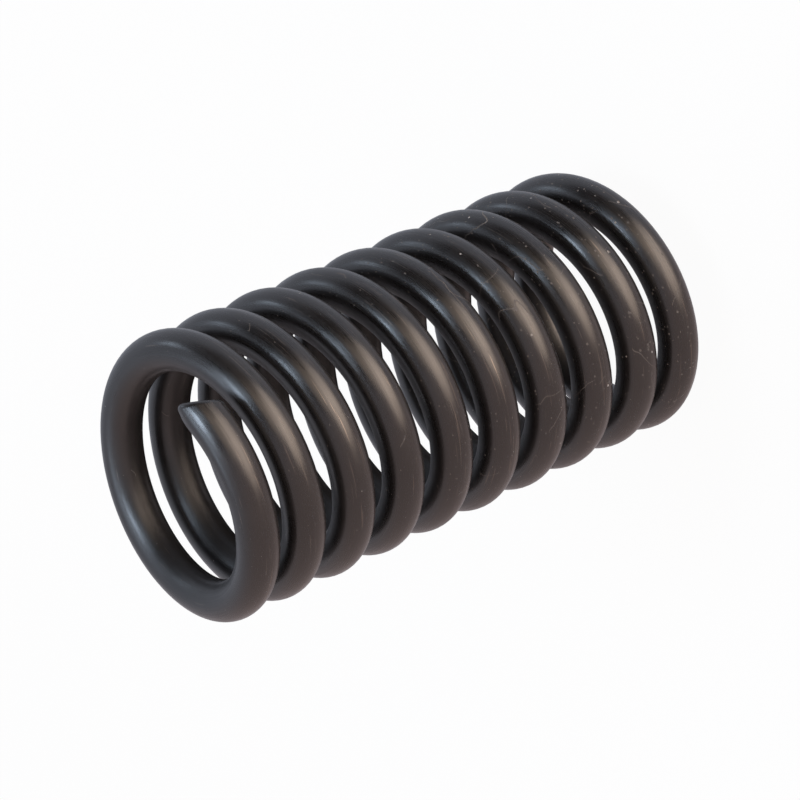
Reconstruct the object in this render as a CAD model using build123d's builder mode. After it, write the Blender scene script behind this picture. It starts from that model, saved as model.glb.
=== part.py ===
"""Antivibration spring: an open coil of round wire that stands on end, its axis on +Z.

Sizes are in millimetres. The origin is on the coil's axis at the level of its lowest turn's
underside, and the lower end of the wire lies on +X.
"""
from build123d import *
import os
from math import ceil, cos, pi, radians, sin, tan, tau

os.makedirs("parts", exist_ok=True)

# Wire and coil
wire_diameter = 3.0
outer_diameter = 20.8
total_turns = 9.85

# Free gap between neighbouring turns: it is smaller at both ends of the coil
body_gap = 1.5
end_gap = 0.8
closing_turns = 2.0

# Sheared wire ends: the cut leans away from square, and its rim is rounded
shear_lean = 43
shear_roll = 25
rim_radius = 0.4

# Fairness of the centreline
points_per_turn = 24

wire_radius = wire_diameter / 2
coil_radius = outer_diameter / 2 - wire_radius
body_pitch = wire_diameter + body_gap
end_pitch = wire_diameter + end_gap


def lost_height(turns_in):
    """Height that the closing of one end takes away, from that end to a place some turns in."""
    u = min(turns_in, closing_turns)
    eased = u + closing_turns / pi * sin(pi * u / closing_turns)
    return (body_pitch - end_pitch) / 2 * eased


def wire_height(turn):
    """Height of the wire's centre above its lower end, after a number of turns."""
    lost_below = lost_height(turn)
    lost_above = lost_height(total_turns) - lost_height(total_turns - turn)
    return body_pitch * turn - lost_below - lost_above


def wire_centre(turn):
    """Point on the right-hand helix that the wire follows."""
    angle = tau * turn
    return (coil_radius * cos(angle), coil_radius * sin(angle), wire_radius + wire_height(turn))


def shear_plane(tip, outward, inward):
    """Plane of the sheared end: it faces out along the wire, away from the axis and to the coil."""
    from_axis = Vector(tip.X, tip.Y, 0)
    from_axis = (from_axis - outward * from_axis.dot(outward)).normalized()
    to_coil = (inward - outward * inward.dot(outward)).normalized()
    sideways = from_axis * cos(radians(shear_roll)) + to_coil * sin(radians(shear_roll))
    facing = outward * cos(radians(shear_lean)) + sideways * sin(radians(shear_lean))
    set_back = wire_radius * tan(radians(shear_lean))
    return Plane(origin=tip - outward * set_back, z_dir=facing)


with BuildPart() as coil_spring:
    spans = ceil(total_turns * points_per_turn)
    with BuildLine() as centreline:
        wire = Spline([wire_centre(total_turns * i / spans) for i in range(spans + 1)])
    with BuildSketch(Plane(wire @ 0, z_dir=wire % 0)):
        Circle(wire_radius)
    sweep(path=centreline.line, is_frenet=True)

    # Both ends are sheared off aslant and their rims are rounded
    for tip, outward, inward in (
        (wire @ 0, wire % 0 * -1, Vector(0, 0, 1)),
        (wire @ 1, wire % 1, Vector(0, 0, -1)),
    ):
        with BuildSketch(shear_plane(tip, outward, inward)):
            Circle(wire_radius / cos(radians(shear_lean)) + rim_radius)
        extrude(amount=wire_diameter * 2, dir=outward, mode=Mode.SUBTRACT)
    rims = coil_spring.faces().filter_by(GeomType.PLANE).edges()
    fillet(rims, radius=rim_radius)

coil_spring.part.label = "coil_spring"
export_step(coil_spring.part, "parts/coil_spring.step")

free_length = coil_spring.part.bounding_box().size.Z
wire_length = wire.length
print(f"free length {free_length:.2f}, body pitch {body_pitch:.2f}, wire length {wire_length:.1f}")
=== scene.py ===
"""Finished look of the antivibration spring: its blackened wire, and the studio it is seen in.

Lengths are in metres. The coil stands on its lower end with its axis on +Z, as the frame has it.
"""

from math import atan2, cos, hypot, pi, radians, sin, tan, tau

import bmesh
import bpy
from mathutils import Matrix, Vector


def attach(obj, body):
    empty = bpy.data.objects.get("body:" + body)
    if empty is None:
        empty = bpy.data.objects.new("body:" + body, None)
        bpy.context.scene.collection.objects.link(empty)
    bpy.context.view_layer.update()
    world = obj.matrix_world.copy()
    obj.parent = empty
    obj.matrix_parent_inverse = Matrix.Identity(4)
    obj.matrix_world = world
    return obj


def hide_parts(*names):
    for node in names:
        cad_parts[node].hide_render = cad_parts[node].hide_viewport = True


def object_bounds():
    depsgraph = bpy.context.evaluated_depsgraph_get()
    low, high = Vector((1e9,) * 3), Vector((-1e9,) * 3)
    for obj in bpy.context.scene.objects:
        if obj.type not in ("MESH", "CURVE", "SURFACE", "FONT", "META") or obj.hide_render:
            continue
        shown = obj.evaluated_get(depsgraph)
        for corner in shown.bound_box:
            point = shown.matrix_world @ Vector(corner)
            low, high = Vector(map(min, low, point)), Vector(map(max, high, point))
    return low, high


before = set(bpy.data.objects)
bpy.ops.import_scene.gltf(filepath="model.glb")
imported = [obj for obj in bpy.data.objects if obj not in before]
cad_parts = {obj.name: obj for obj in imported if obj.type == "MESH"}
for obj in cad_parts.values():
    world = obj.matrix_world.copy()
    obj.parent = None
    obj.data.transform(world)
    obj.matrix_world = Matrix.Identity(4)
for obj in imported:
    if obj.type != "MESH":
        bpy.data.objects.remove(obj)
cad_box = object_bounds()

MM = 0.001

# Wire and coil
wire_diameter = 3.0 * MM
outer_diameter = 20.8 * MM
total_turns = 9.85
body_gap = 1.5 * MM
end_gap = 0.8 * MM
closing_turns = 2.0

# Sheared wire ends: the blade drew the wire in on the cut's sharp side, and the rim is rounded
shear_lean = radians(52)
shear_roll = radians(25)
drawn_in_depth = 0.7 * MM
drawn_in_length = 2.0 * MM
rim_radius = 0.4 * MM

# Facets: a cut moves the last rings, and leaves room behind the rim for its rounding
wire_sides = 48
steps_per_turn = 90
sheared_rings = 12
rim_room = 1.1 * MM
rim_segments = 6

wire_radius = wire_diameter / 2
coil_radius = outer_diameter / 2 - wire_radius
body_pitch = wire_diameter + body_gap
end_pitch = wire_diameter + end_gap
turn_length = tau * coil_radius
steps = round(total_turns * steps_per_turn)
step_turns = total_turns / steps
widest_rounding = rim_radius * tan((radians(90) + shear_lean) / 2)


# The coil

def lost_height(turns_in):
    """Height that the closing of one end takes away, from that end to a place some turns in."""
    u = min(turns_in, closing_turns)
    eased = u + closing_turns / pi * sin(pi * u / closing_turns)
    return (body_pitch - end_pitch) / 2 * eased


def wire_centre(turn):
    """Point on the right-hand helix that the wire follows."""
    lost_below = lost_height(turn)
    lost_above = lost_height(total_turns) - lost_height(total_turns - turn)
    height = wire_radius + body_pitch * turn - lost_below - lost_above
    return Vector((coil_radius * cos(tau * turn), coil_radius * sin(tau * turn), height))


def slide(point, start_turn, end_turn):
    """Where a point of the wire comes to lie when it is moved along the wire."""
    moved = Matrix.Rotation(tau * (end_turn - start_turn), 3, "Z") @ point
    moved.z += wire_centre(end_turn).z - wire_centre(start_turn).z
    return moved


def wind_wire(bm, turn_layer):
    """Extrude the wire's round section ring by ring, turned and raised a step each time."""
    slope = atan2(body_pitch, turn_length)
    first_place = (
        Matrix.Translation(wire_centre(0))
        @ Matrix.Rotation(slope, 4, "X")
        @ Matrix.Rotation(radians(90), 4, "X")
    )
    bmesh.ops.create_circle(bm, segments=wire_sides, radius=wire_radius, matrix=first_place)
    ring = bm.edges[:]
    one_step = Matrix.Rotation(tau * step_turns, 3, "Z")
    for step in range(steps):
        turn = total_turns * step / steps
        next_turn = total_turns * (step + 1) / steps
        rise = wire_centre(next_turn).z - wire_centre(turn).z
        grown = bmesh.ops.extrude_edge_only(bm, edges=ring)["geom"]
        verts = {item for item in grown if isinstance(item, bmesh.types.BMVert)}
        edges = [item for item in grown if isinstance(item, bmesh.types.BMEdge)]
        ring = [edge for edge in edges if verts.issuperset(edge.verts)]
        bmesh.ops.rotate(bm, verts=list(verts), cent=(0, 0, 0), matrix=one_step)
        bmesh.ops.translate(bm, verts=list(verts), vec=(0, 0, rise))
        for vert in verts:
            vert[turn_layer] = next_turn


def turn_at_plane(point, turn, away, plane_point, facing):
    """Turn at which a point that slides along the wire meets the sheared plane.

    Each pass closes most of the distance that is left.
    """
    cut_turn = turn
    for _ in range(8):
        short = (slide(point, turn, cut_turn) - plane_point).dot(facing)
        cut_turn -= away * short / (turn_length * cos(shear_lean))
    return cut_turn


def shear_end(bm, turn_layer, end_turn, inward):
    """Slide the last rings along the wire until the end lies in its sheared plane, then cap it."""
    away = 1 if end_turn > 0 else -1
    tip = wire_centre(end_turn)
    nudge = away * step_turns / 8
    outward = (wire_centre(end_turn + nudge) - wire_centre(end_turn - nudge)).normalized()
    from_axis = Vector((tip.x, tip.y, 0))
    from_axis = (from_axis - outward * from_axis.dot(outward)).normalized()
    to_coil = (inward - outward * inward.dot(outward)).normalized()
    sideways = from_axis * cos(shear_roll) + to_coil * sin(shear_roll)
    facing = outward * cos(shear_lean) + sideways * sin(shear_lean)
    plane_point = tip - outward * wire_radius * tan(shear_lean)
    room = rim_room / turn_length

    for vert in bm.verts:
        turn = vert[turn_layer]
        rings_in = round(abs(end_turn - turn) / step_turns)
        if rings_in >= sheared_rings:
            continue
        # The sharp side is drawn in towards the blunt one, the sharpest place most
        spoke = Matrix.Rotation(tau * (end_turn - turn), 3, "Z") @ (vert.co - wire_centre(turn))
        sharpness = max(0, -spoke.dot(sideways) / wire_radius)
        pull = Matrix.Rotation(tau * (turn - end_turn), 3, "Z") @ sideways
        pull *= drawn_in_depth * sharpness
        cut_turn = turn_at_plane(vert.co + pull, turn, away, plane_point, facing)

        # The other rings share out the wire between the cut and the first ring that stays
        stretch = abs(cut_turn - end_turn + away * sheared_rings * step_turns)
        kept_back = 0
        if rings_in > 0:
            spread = (rings_in - 1) / (sheared_rings - 1)
            kept_back = room + spread * (stretch - room)
        pull *= max(0, 1 - kept_back * turn_length / drawn_in_length) ** 2
        vert.co = slide(vert.co + pull, turn, cut_turn - away * kept_back)
        vert[turn_layer] = cut_turn - away * kept_back

    rim = [e for e in bm.edges if e.is_boundary and abs(e.verts[0][turn_layer] - end_turn) < 1]
    bmesh.ops.holes_fill(bm, edges=rim, sides=0)
    return rim, facing


def mark_rim(bm, rim, facing, weight_layer):
    """Weigh the rim's edges so that one bevel width gives the same radius all round."""
    for edge in rim:
        wall = next(face for face in edge.link_faces if len(face.verts) == 4)
        lean = wall.normal.angle(facing)
        edge[weight_layer] = rim_radius * tan(lean / 2) / widest_rounding


def round_rims(wire):
    """Bevel the marked rims, and keep the result as the wire's own mesh."""
    rounding = wire.modifiers.new("rounded_rims", "BEVEL")
    rounding.limit_method = "WEIGHT"
    rounding.offset_type = "OFFSET"
    rounding.width = widest_rounding
    rounding.segments = rim_segments
    rounding.profile = 0.5
    rounding.use_clamp_overlap = False
    evaluated = wire.evaluated_get(bpy.context.evaluated_depsgraph_get())
    rounded = bpy.data.meshes.new_from_object(evaluated)
    wire.modifiers.clear()
    wire.data = rounded
    wire.data.shade_smooth()


def coil_wire():
    """Wind the wire, shear and round both its ends, and give it as one object."""
    bm = bmesh.new()
    turn_layer = bm.verts.layers.float.new("turn")
    weight_layer = bm.edges.layers.float.new("bevel_weight_edge")
    wind_wire(bm, turn_layer)
    rims = [
        shear_end(bm, turn_layer, 0, Vector((0, 0, 1))),
        shear_end(bm, turn_layer, total_turns, Vector((0, 0, -1))),
    ]
    bmesh.ops.recalc_face_normals(bm, faces=bm.faces[:])
    for rim, facing in rims:
        mark_rim(bm, rim, facing, weight_layer)
    mesh = bpy.data.meshes.new("coated_wire")
    bm.to_mesh(mesh)
    bm.free()
    wire = bpy.data.objects.new("coated_wire", mesh)
    bpy.context.scene.collection.objects.link(wire)
    round_rims(wire)
    return wire


def unwind(wire):
    """Store where each point lay before winding, in mm: along the straight wire, then across it."""
    unwound = wire.data.attributes.new("unwound", "FLOAT_VECTOR", "POINT")
    turns = wire.data.attributes["turn"]
    for vert in wire.data.vertices:
        part_turn = atan2(vert.co.y, vert.co.x) / tau
        turn = part_turn + round(turns.data[vert.index].value - part_turn)
        outward = hypot(vert.co.x, vert.co.y) - coil_radius
        upward = vert.co.z - wire_centre(turn).z
        unwound.data[vert.index].vector = Vector((turn * turn_length, outward, upward)) / MM


coated_wire = coil_wire()
unwind(coated_wire)
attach(coated_wire, "root")
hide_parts("coil_spring")


# Materials

def srgb(hex_colour):
    """Linear colour of an sRGB hex value."""
    channels = [int(hex_colour[i:i + 2], 16) / 255 for i in (1, 3, 5)]
    linear = [c / 12.92 if c <= 0.04045 else ((c + 0.055) / 1.055) ** 2.4 for c in channels]
    return (*linear, 1.0)


def add(tree, kind, inputs=None, **settings):
    """Add a node with its settings; each input is given a value or linked from a socket."""
    node = tree.nodes.new(kind)
    for name, value in settings.items():
        setattr(node, name, value)
    for name, value in (inputs or {}).items():
        if isinstance(value, bpy.types.NodeSocket):
            tree.links.new(value, node.inputs[name])
        else:
            node.inputs[name].default_value = value
    return node


def die_streaks(tree, place, width, length, detail, roughness):
    """Streaks that the drawing die leaves along the wire, of a width and length in mm."""
    drawn_out = add(
        tree,
        "ShaderNodeVectorMath",
        {0: place, 1: (width / length, 1, 1)},
        operation="MULTIPLY",
    ).outputs["Vector"]
    return add(
        tree,
        "ShaderNodeTexNoise",
        {"Vector": drawn_out, "Scale": 1 / width, "Detail": detail, "Roughness": roughness},
    ).outputs["Fac"]


def bare_scores(tree, place, outward):
    """Short scores, most on the coil's outermost side, where the black is scraped off.

    They are 0.14 mm wide, where real ones of 0.05 mm would be too fine to show.
    """
    scores = die_streaks(tree, place, width=0.14, length=3.5, detail=2.0, roughness=0.5)
    crest = add(
        tree,
        "ShaderNodeMapRange",
        {"Value": outward, "From Min": 0.9, "From Max": 1.45, "To Min": 0.0, "To Max": 0.06},
    ).outputs["Result"]
    scored = add(tree, "ShaderNodeMath", {0: scores, 1: crest}, operation="ADD").outputs["Value"]
    return add(
        tree,
        "ShaderNodeMapRange",
        {"Value": scored, "From Min": 0.70, "From Max": 0.77, "To Min": 0.0, "To Max": 1.0},
    ).outputs["Result"]


def dust_grains(tree, place, gathered, cell, channel, pull, rare, full, widest):
    """Round grains, at most one in each cell of the given size in mm: 1 on a grain, 0 beside it.

    Each cell draws a lot, to which the gathered dust adds its pull. Grains start at a lot of rare
    and are widest at full, as a share of the cell.
    """
    cells = add(tree, "ShaderNodeTexVoronoi", {"Vector": place, "Scale": 1 / cell})
    colour = cells.outputs["Color"]
    lot = add(tree, "ShaderNodeSeparateColor", {"Color": colour}).outputs[channel]
    favoured = add(
        tree,
        "ShaderNodeMath",
        {0: gathered, 1: pull, 2: lot},
        operation="MULTIPLY_ADD",
    ).outputs["Value"]
    radius = add(
        tree,
        "ShaderNodeMapRange",
        {"Value": favoured, "From Min": rare, "From Max": full, "To Min": 0.0, "To Max": widest},
    ).outputs["Result"]
    return add(
        tree,
        "ShaderNodeMath",
        {0: cells.outputs["Distance"], 1: radius},
        operation="LESS_THAN",
    ).outputs["Value"]


def lint_fibres(tree, place, gathered, most_gathered):
    """Lint: 1 on a fibre and 0 beside it.

    Each cell of 4 mm may hold one bent fibre up to 4 mm long. It is 0.04 mm thick, twice as thick
    as real lint, which would be too fine to show. A fibre lies where a plane through its cell, at
    an angle that the cell's colour draws, meets the wire, and a slow noise bends it.
    """
    cell = 4.0
    bend_length = 1.8
    bend_depth = 1.6
    thickness = 0.04
    tufts = add(tree, "ShaderNodeTexVoronoi", {"Vector": place, "Scale": 1 / cell})
    from_tuft = add(
        tree,
        "ShaderNodeVectorMath",
        {0: place, 1: tufts.outputs["Position"]},
        operation="SUBTRACT",
    ).outputs["Vector"]
    across_fibre = add(
        tree,
        "ShaderNodeVectorMath",
        {0: tufts.outputs["Color"], 1: (0.5, 0.5, 0.5)},
        operation="SUBTRACT",
    ).outputs["Vector"]
    across_fibre = add(
        tree,
        "ShaderNodeVectorMath",
        {0: across_fibre},
        operation="NORMALIZE",
    ).outputs["Vector"]
    off_fibre = add(
        tree,
        "ShaderNodeVectorMath",
        {0: from_tuft, 1: across_fibre},
        operation="DOT_PRODUCT",
    ).outputs["Value"]
    bend = add(
        tree,
        "ShaderNodeTexNoise",
        {"Vector": place, "Scale": 1 / bend_length, "Detail": 1.0, "Roughness": 0.5},
    ).outputs["Fac"]
    off_fibre = add(
        tree,
        "ShaderNodeMath",
        {0: bend, 1: bend_depth, 2: off_fibre},
        operation="MULTIPLY_ADD",
    ).outputs["Value"]
    fibre = add(
        tree,
        "ShaderNodeMath",
        {0: off_fibre, 1: bend_depth / 2, 2: thickness / 2},
        operation="COMPARE",
    ).outputs["Value"]
    reach = add(
        tree,
        "ShaderNodeMapRange",
        {
            "Value": gathered,
            "From Min": 0.0,
            "From Max": most_gathered,
            "To Min": 0.1,
            "To Max": 0.6,
        },
    ).outputs["Result"]
    near_tuft = add(
        tree,
        "ShaderNodeMath",
        {0: tufts.outputs["Distance"], 1: reach},
        operation="LESS_THAN",
    ).outputs["Value"]
    return add(
        tree,
        "ShaderNodeMath",
        {0: fibre, 1: near_tuft},
        operation="MULTIPLY",
    ).outputs["Value"]


def blackened_steel():
    """Drawn spring steel, blackened with oxide and oiled.

    It gives a near-black satin, shinier than paint, whose wide highlights break into fine lines
    along the wire, with a little pale dust and lint on it, most on the lower turns.
    """
    material = bpy.data.materials.new("blackened_spring_steel")
    material.use_nodes = True
    tree = material.node_tree
    shader = tree.nodes["Principled BSDF"]
    shader.inputs["IOR"].default_value = 1.7

    # Places on the straight wire, in mm
    place = add(tree, "ShaderNodeAttribute", attribute_name="unwound").outputs["Vector"]
    along, outward, _ = add(tree, "ShaderNodeSeparateXYZ", {"Vector": place}).outputs

    # Drawing lines: 0.12 mm wide, where real ones of 0.02 mm would be too fine to show
    lines = die_streaks(tree, place, width=0.12, length=9.0, detail=3.0, roughness=0.6)
    bare = bare_scores(tree, place, outward)

    # Grain of the coat: lumps of 0.1 mm, where real ones of 0.01 mm would be too fine to show
    grain = add(
        tree,
        "ShaderNodeTexNoise",
        {"Vector": place, "Scale": 1 / 0.1, "Detail": 2.0, "Roughness": 0.6},
    ).outputs["Fac"]

    # Handling marks: faint patches of 2.5 mm that are shinier or duller than the rest
    patches = add(
        tree,
        "ShaderNodeTexNoise",
        {"Vector": place, "Scale": 1 / 2.5, "Detail": 4.0, "Roughness": 0.65},
    ).outputs["Fac"]

    # The lower turns have gathered more dust and lint than the upper ones
    most_gathered = 0.14
    gathered = add(
        tree,
        "ShaderNodeMapRange",
        {
            "Value": along,
            "From Min": 120.0,
            "From Max": 420.0,
            "To Min": most_gathered,
            "To Max": 0.0,
        },
    ).outputs["Result"]
    fine_grains = dust_grains(
        tree, place, gathered, cell=0.22, channel="Green", pull=0.8, rare=0.90, full=1.1, widest=0.4
    )
    specks = dust_grains(
        tree, place, gathered, cell=0.5, channel="Red", pull=0.3, rare=0.97, full=1.04, widest=0.22
    )
    lint = lint_fibres(tree, place, gathered, most_gathered)
    fine_dust = add(
        tree,
        "ShaderNodeMath",
        {0: fine_grains, 1: lint},
        operation="MAXIMUM",
    ).outputs["Value"]
    dust = add(
        tree,
        "ShaderNodeMath",
        {0: specks, 1: fine_dust},
        operation="MAXIMUM",
    ).outputs["Value"]

    # Colours: the coat, then bare steel in the scores, then fine dust and lint, then specks
    colour = srgb("#141314")
    for share, laid_over in (
        (patches, "#1d1b1a"),
        (bare, "#6c6763"),
        (fine_dust, "#625e5b"),
        (specks, "#9c9894"),
    ):
        colour = add(
            tree,
            "ShaderNodeMix",
            {0: share, 6: colour, 7: srgb(laid_over)},
            data_type="RGBA",
        ).outputs[2]
    metal = add(
        tree,
        "ShaderNodeMath",
        {0: bare, 1: dust},
        operation="SUBTRACT",
        use_clamp=True,
    ).outputs["Value"]

    # Roughness: satin, varied along the lines and by the patches, and duller inside the coil
    roughness = 0.0
    for value, low, high, smoothest, roughest in (
        (lines, 0.3, 0.7, 0.22, 0.34),
        (patches, 0.3, 0.7, -0.05, 0.07),
        (outward, 0.3, -0.9, 0.0, 0.11),
    ):
        part = add(
            tree,
            "ShaderNodeMapRange",
            {
                "Value": value,
                "From Min": low,
                "From Max": high,
                "To Min": smoothest,
                "To Max": roughest,
            },
        ).outputs["Result"]
        roughness = add(
            tree,
            "ShaderNodeMath",
            {0: roughness, 1: part},
            operation="ADD",
        ).outputs["Value"]

    # It is fully matt where dust lies
    roughness = add(
        tree,
        "ShaderNodeMath",
        {0: roughness, 1: dust},
        operation="MAXIMUM",
    ).outputs["Value"]

    # The lines stand up to 4 microns proud and the grain a seventh of that
    relief = add(
        tree,
        "ShaderNodeMath",
        {0: grain, 1: 0.15, 2: lines},
        operation="MULTIPLY_ADD",
    ).outputs["Value"]
    bump = add(
        tree,
        "ShaderNodeBump",
        {"Height": relief, "Strength": 1.0, "Distance": 0.004 * MM},
    ).outputs["Normal"]

    tree.links.new(colour, shader.inputs["Base Color"])
    tree.links.new(metal, shader.inputs["Metallic"])
    tree.links.new(roughness, shader.inputs["Roughness"])
    tree.links.new(bump, shader.inputs["Normal"])
    return material


coated_wire.data.materials.append(blackened_steel())


# Studio

def bearing(azimuth, elevation):
    """Unit vector towards a compass direction round the coil and a height above the floor."""
    a, e = radians(azimuth), radians(elevation)
    return Vector((cos(a) * cos(e), sin(a) * cos(e), sin(e)))


def white_paper():
    """Matt white paper under the coil, which stays white and keeps a soft, light shadow."""
    material = bpy.data.materials.new("matt_white_paper")
    material.use_nodes = True
    tree = material.node_tree
    tree.nodes.remove(tree.nodes["Principled BSDF"])
    paper = add(tree, "ShaderNodeBsdfDiffuse", {"Color": srgb("#fafafa"), "Roughness": 1.0})
    white = add(tree, "ShaderNodeEmission", {"Color": srgb("#ffffff"), "Strength": 1.0})
    path = add(tree, "ShaderNodeLightPath")
    seen = path.outputs["Is Camera Ray"]
    for kind in ("Is Glossy Ray", "Is Transmission Ray"):
        seen = add(
            tree,
            "ShaderNodeMath",
            {0: seen, 1: path.outputs[kind]},
            operation="ADD",
        ).outputs["Value"]
    whiteness = 0.95
    lift = add(
        tree,
        "ShaderNodeMath",
        {0: seen, 1: whiteness},
        operation="MULTIPLY",
    ).outputs["Value"]
    blend = add(
        tree,
        "ShaderNodeMixShader",
        {0: lift, 1: paper.outputs["BSDF"], 2: white.outputs["Emission"]},
    ).outputs["Shader"]
    tree.links.new(blend, tree.nodes["Material Output"].inputs["Surface"])
    return material


floor_half = 3.0
floor_mesh = bpy.data.meshes.new("floor")
bm = bmesh.new()
bmesh.ops.create_grid(bm, x_segments=1, y_segments=1, size=floor_half)
bm.to_mesh(floor_mesh)
bm.free()
floor = bpy.data.objects.new("floor", floor_mesh)
bpy.context.scene.collection.objects.link(floor)
floor.data.materials.append(white_paper())

# The photographed spring lies down, so light reaches it also from what is under it here
floor.visible_glossy = False
floor.visible_shadow = False

# Softboxes: all at one distance from the coil's middle, and dark from this angle off their axis
middle = Vector((0, 0, (cad_box[0][2] + cad_box[1][2]) / 2))
lamp_distance = 0.5
lamp_fade = radians(45)
warm_white = "#ffe7d2"
cool_white = "#d9ebff"


def softbox(name, azimuth, elevation, width, height, turn, radiance, colour):
    """Oval lamp; radiance is how bright its middle looks, with white at 1.

    It has a cloth front and a grid, so it fades from its middle to its edge.
    """
    light = bpy.data.lights.new(name, "AREA")
    light.shape = "ELLIPSE"
    light.size = width
    light.size_y = height
    light.spread = 2 * lamp_fade
    area = pi / 4 * width * height
    light.energy = radiance * pi * area * (1 - lamp_fade / tan(lamp_fade))
    light.color = srgb(colour)[:3]
    lamp = bpy.data.objects.new(name, light)
    lamp.location = middle + bearing(azimuth, elevation) * lamp_distance
    facing = bearing(azimuth, elevation).to_track_quat("Z", "Y").to_matrix().to_4x4()
    lamp.rotation_euler = (facing @ Matrix.Rotation(radians(turn), 4, "Z")).to_euler()
    bpy.context.scene.collection.objects.link(lamp)


# Each with its azimuth and elevation, width and height, turn, and brightness
softbox("warm_softbox", -88, -15, 0.64, 0.64, 0, 4.8, warm_white)
softbox("warm_fill", -76, 26, 0.40, 0.28, 0, 1.6, warm_white)
softbox("cool_window", -20, 74, 0.26, 0.12, 55, 12.5, cool_white)
softbox("window_tail", -50, 51, 0.20, 0.13, 67, 2.6, cool_white)
softbox("cool_strip", 72, 68, 0.22, 0.16, 0, 2.6, cool_white)
softbox("cool_spot", 25, 32, 0.12, 0.12, 0, 2.8, cool_white)

# The room: cool and dim, with a warm side and a dark place beside the camera, both soft-edged
world = bpy.data.worlds.new("studio")
bpy.context.scene.world = world
world.use_nodes = True
tree = world.node_tree
outlook = add(tree, "ShaderNodeTexCoord").outputs["Generated"]
room = srgb("#bbc0cd")
for azimuth, elevation, edge, core, colour in (
    (-173, -10, 126.87, 36.87, "#d2bcb8"),
    (-42, 30, 55, 25, "#272727"),
):
    nearness = add(
        tree,
        "ShaderNodeVectorMath",
        {0: outlook, 1: bearing(azimuth, elevation)},
        operation="DOT_PRODUCT",
    ).outputs["Value"]
    share = add(
        tree,
        "ShaderNodeMapRange",
        {"Value": nearness, "From Min": cos(radians(edge)), "From Max": cos(radians(core))},
        interpolation_type="SMOOTHSTEP",
    ).outputs["Result"]
    room = add(
        tree,
        "ShaderNodeMix",
        {0: share, 6: room, 7: srgb(colour)},
        data_type="RGBA",
    ).outputs[2]
tree.links.new(room, tree.nodes["Background"].inputs["Color"])

# Camera: the photo shows the coil lying down, so the camera is rolled
view_azimuth = -95.50
view_elevation = 34.16
view_roll = radians(113.72)
view_distance = 268.42 * MM
aim = Vector((-0.816, 0.752, 23.250)) * MM

camera = bpy.data.objects.new("camera", bpy.data.cameras.new("camera"))
camera.data.lens = 167.07
camera.data.sensor_width = 36
towards_camera = bearing(view_azimuth, view_elevation)
camera.location = aim + towards_camera * view_distance
upright = towards_camera.to_track_quat("Z", "Y").to_matrix().to_4x4()
camera.rotation_euler = (upright @ Matrix.Rotation(-view_roll, 4, "Z")).to_euler()
bpy.context.scene.collection.objects.link(camera)
bpy.context.scene.camera = camera

bpy.context.scene.view_settings.view_transform = "Standard"
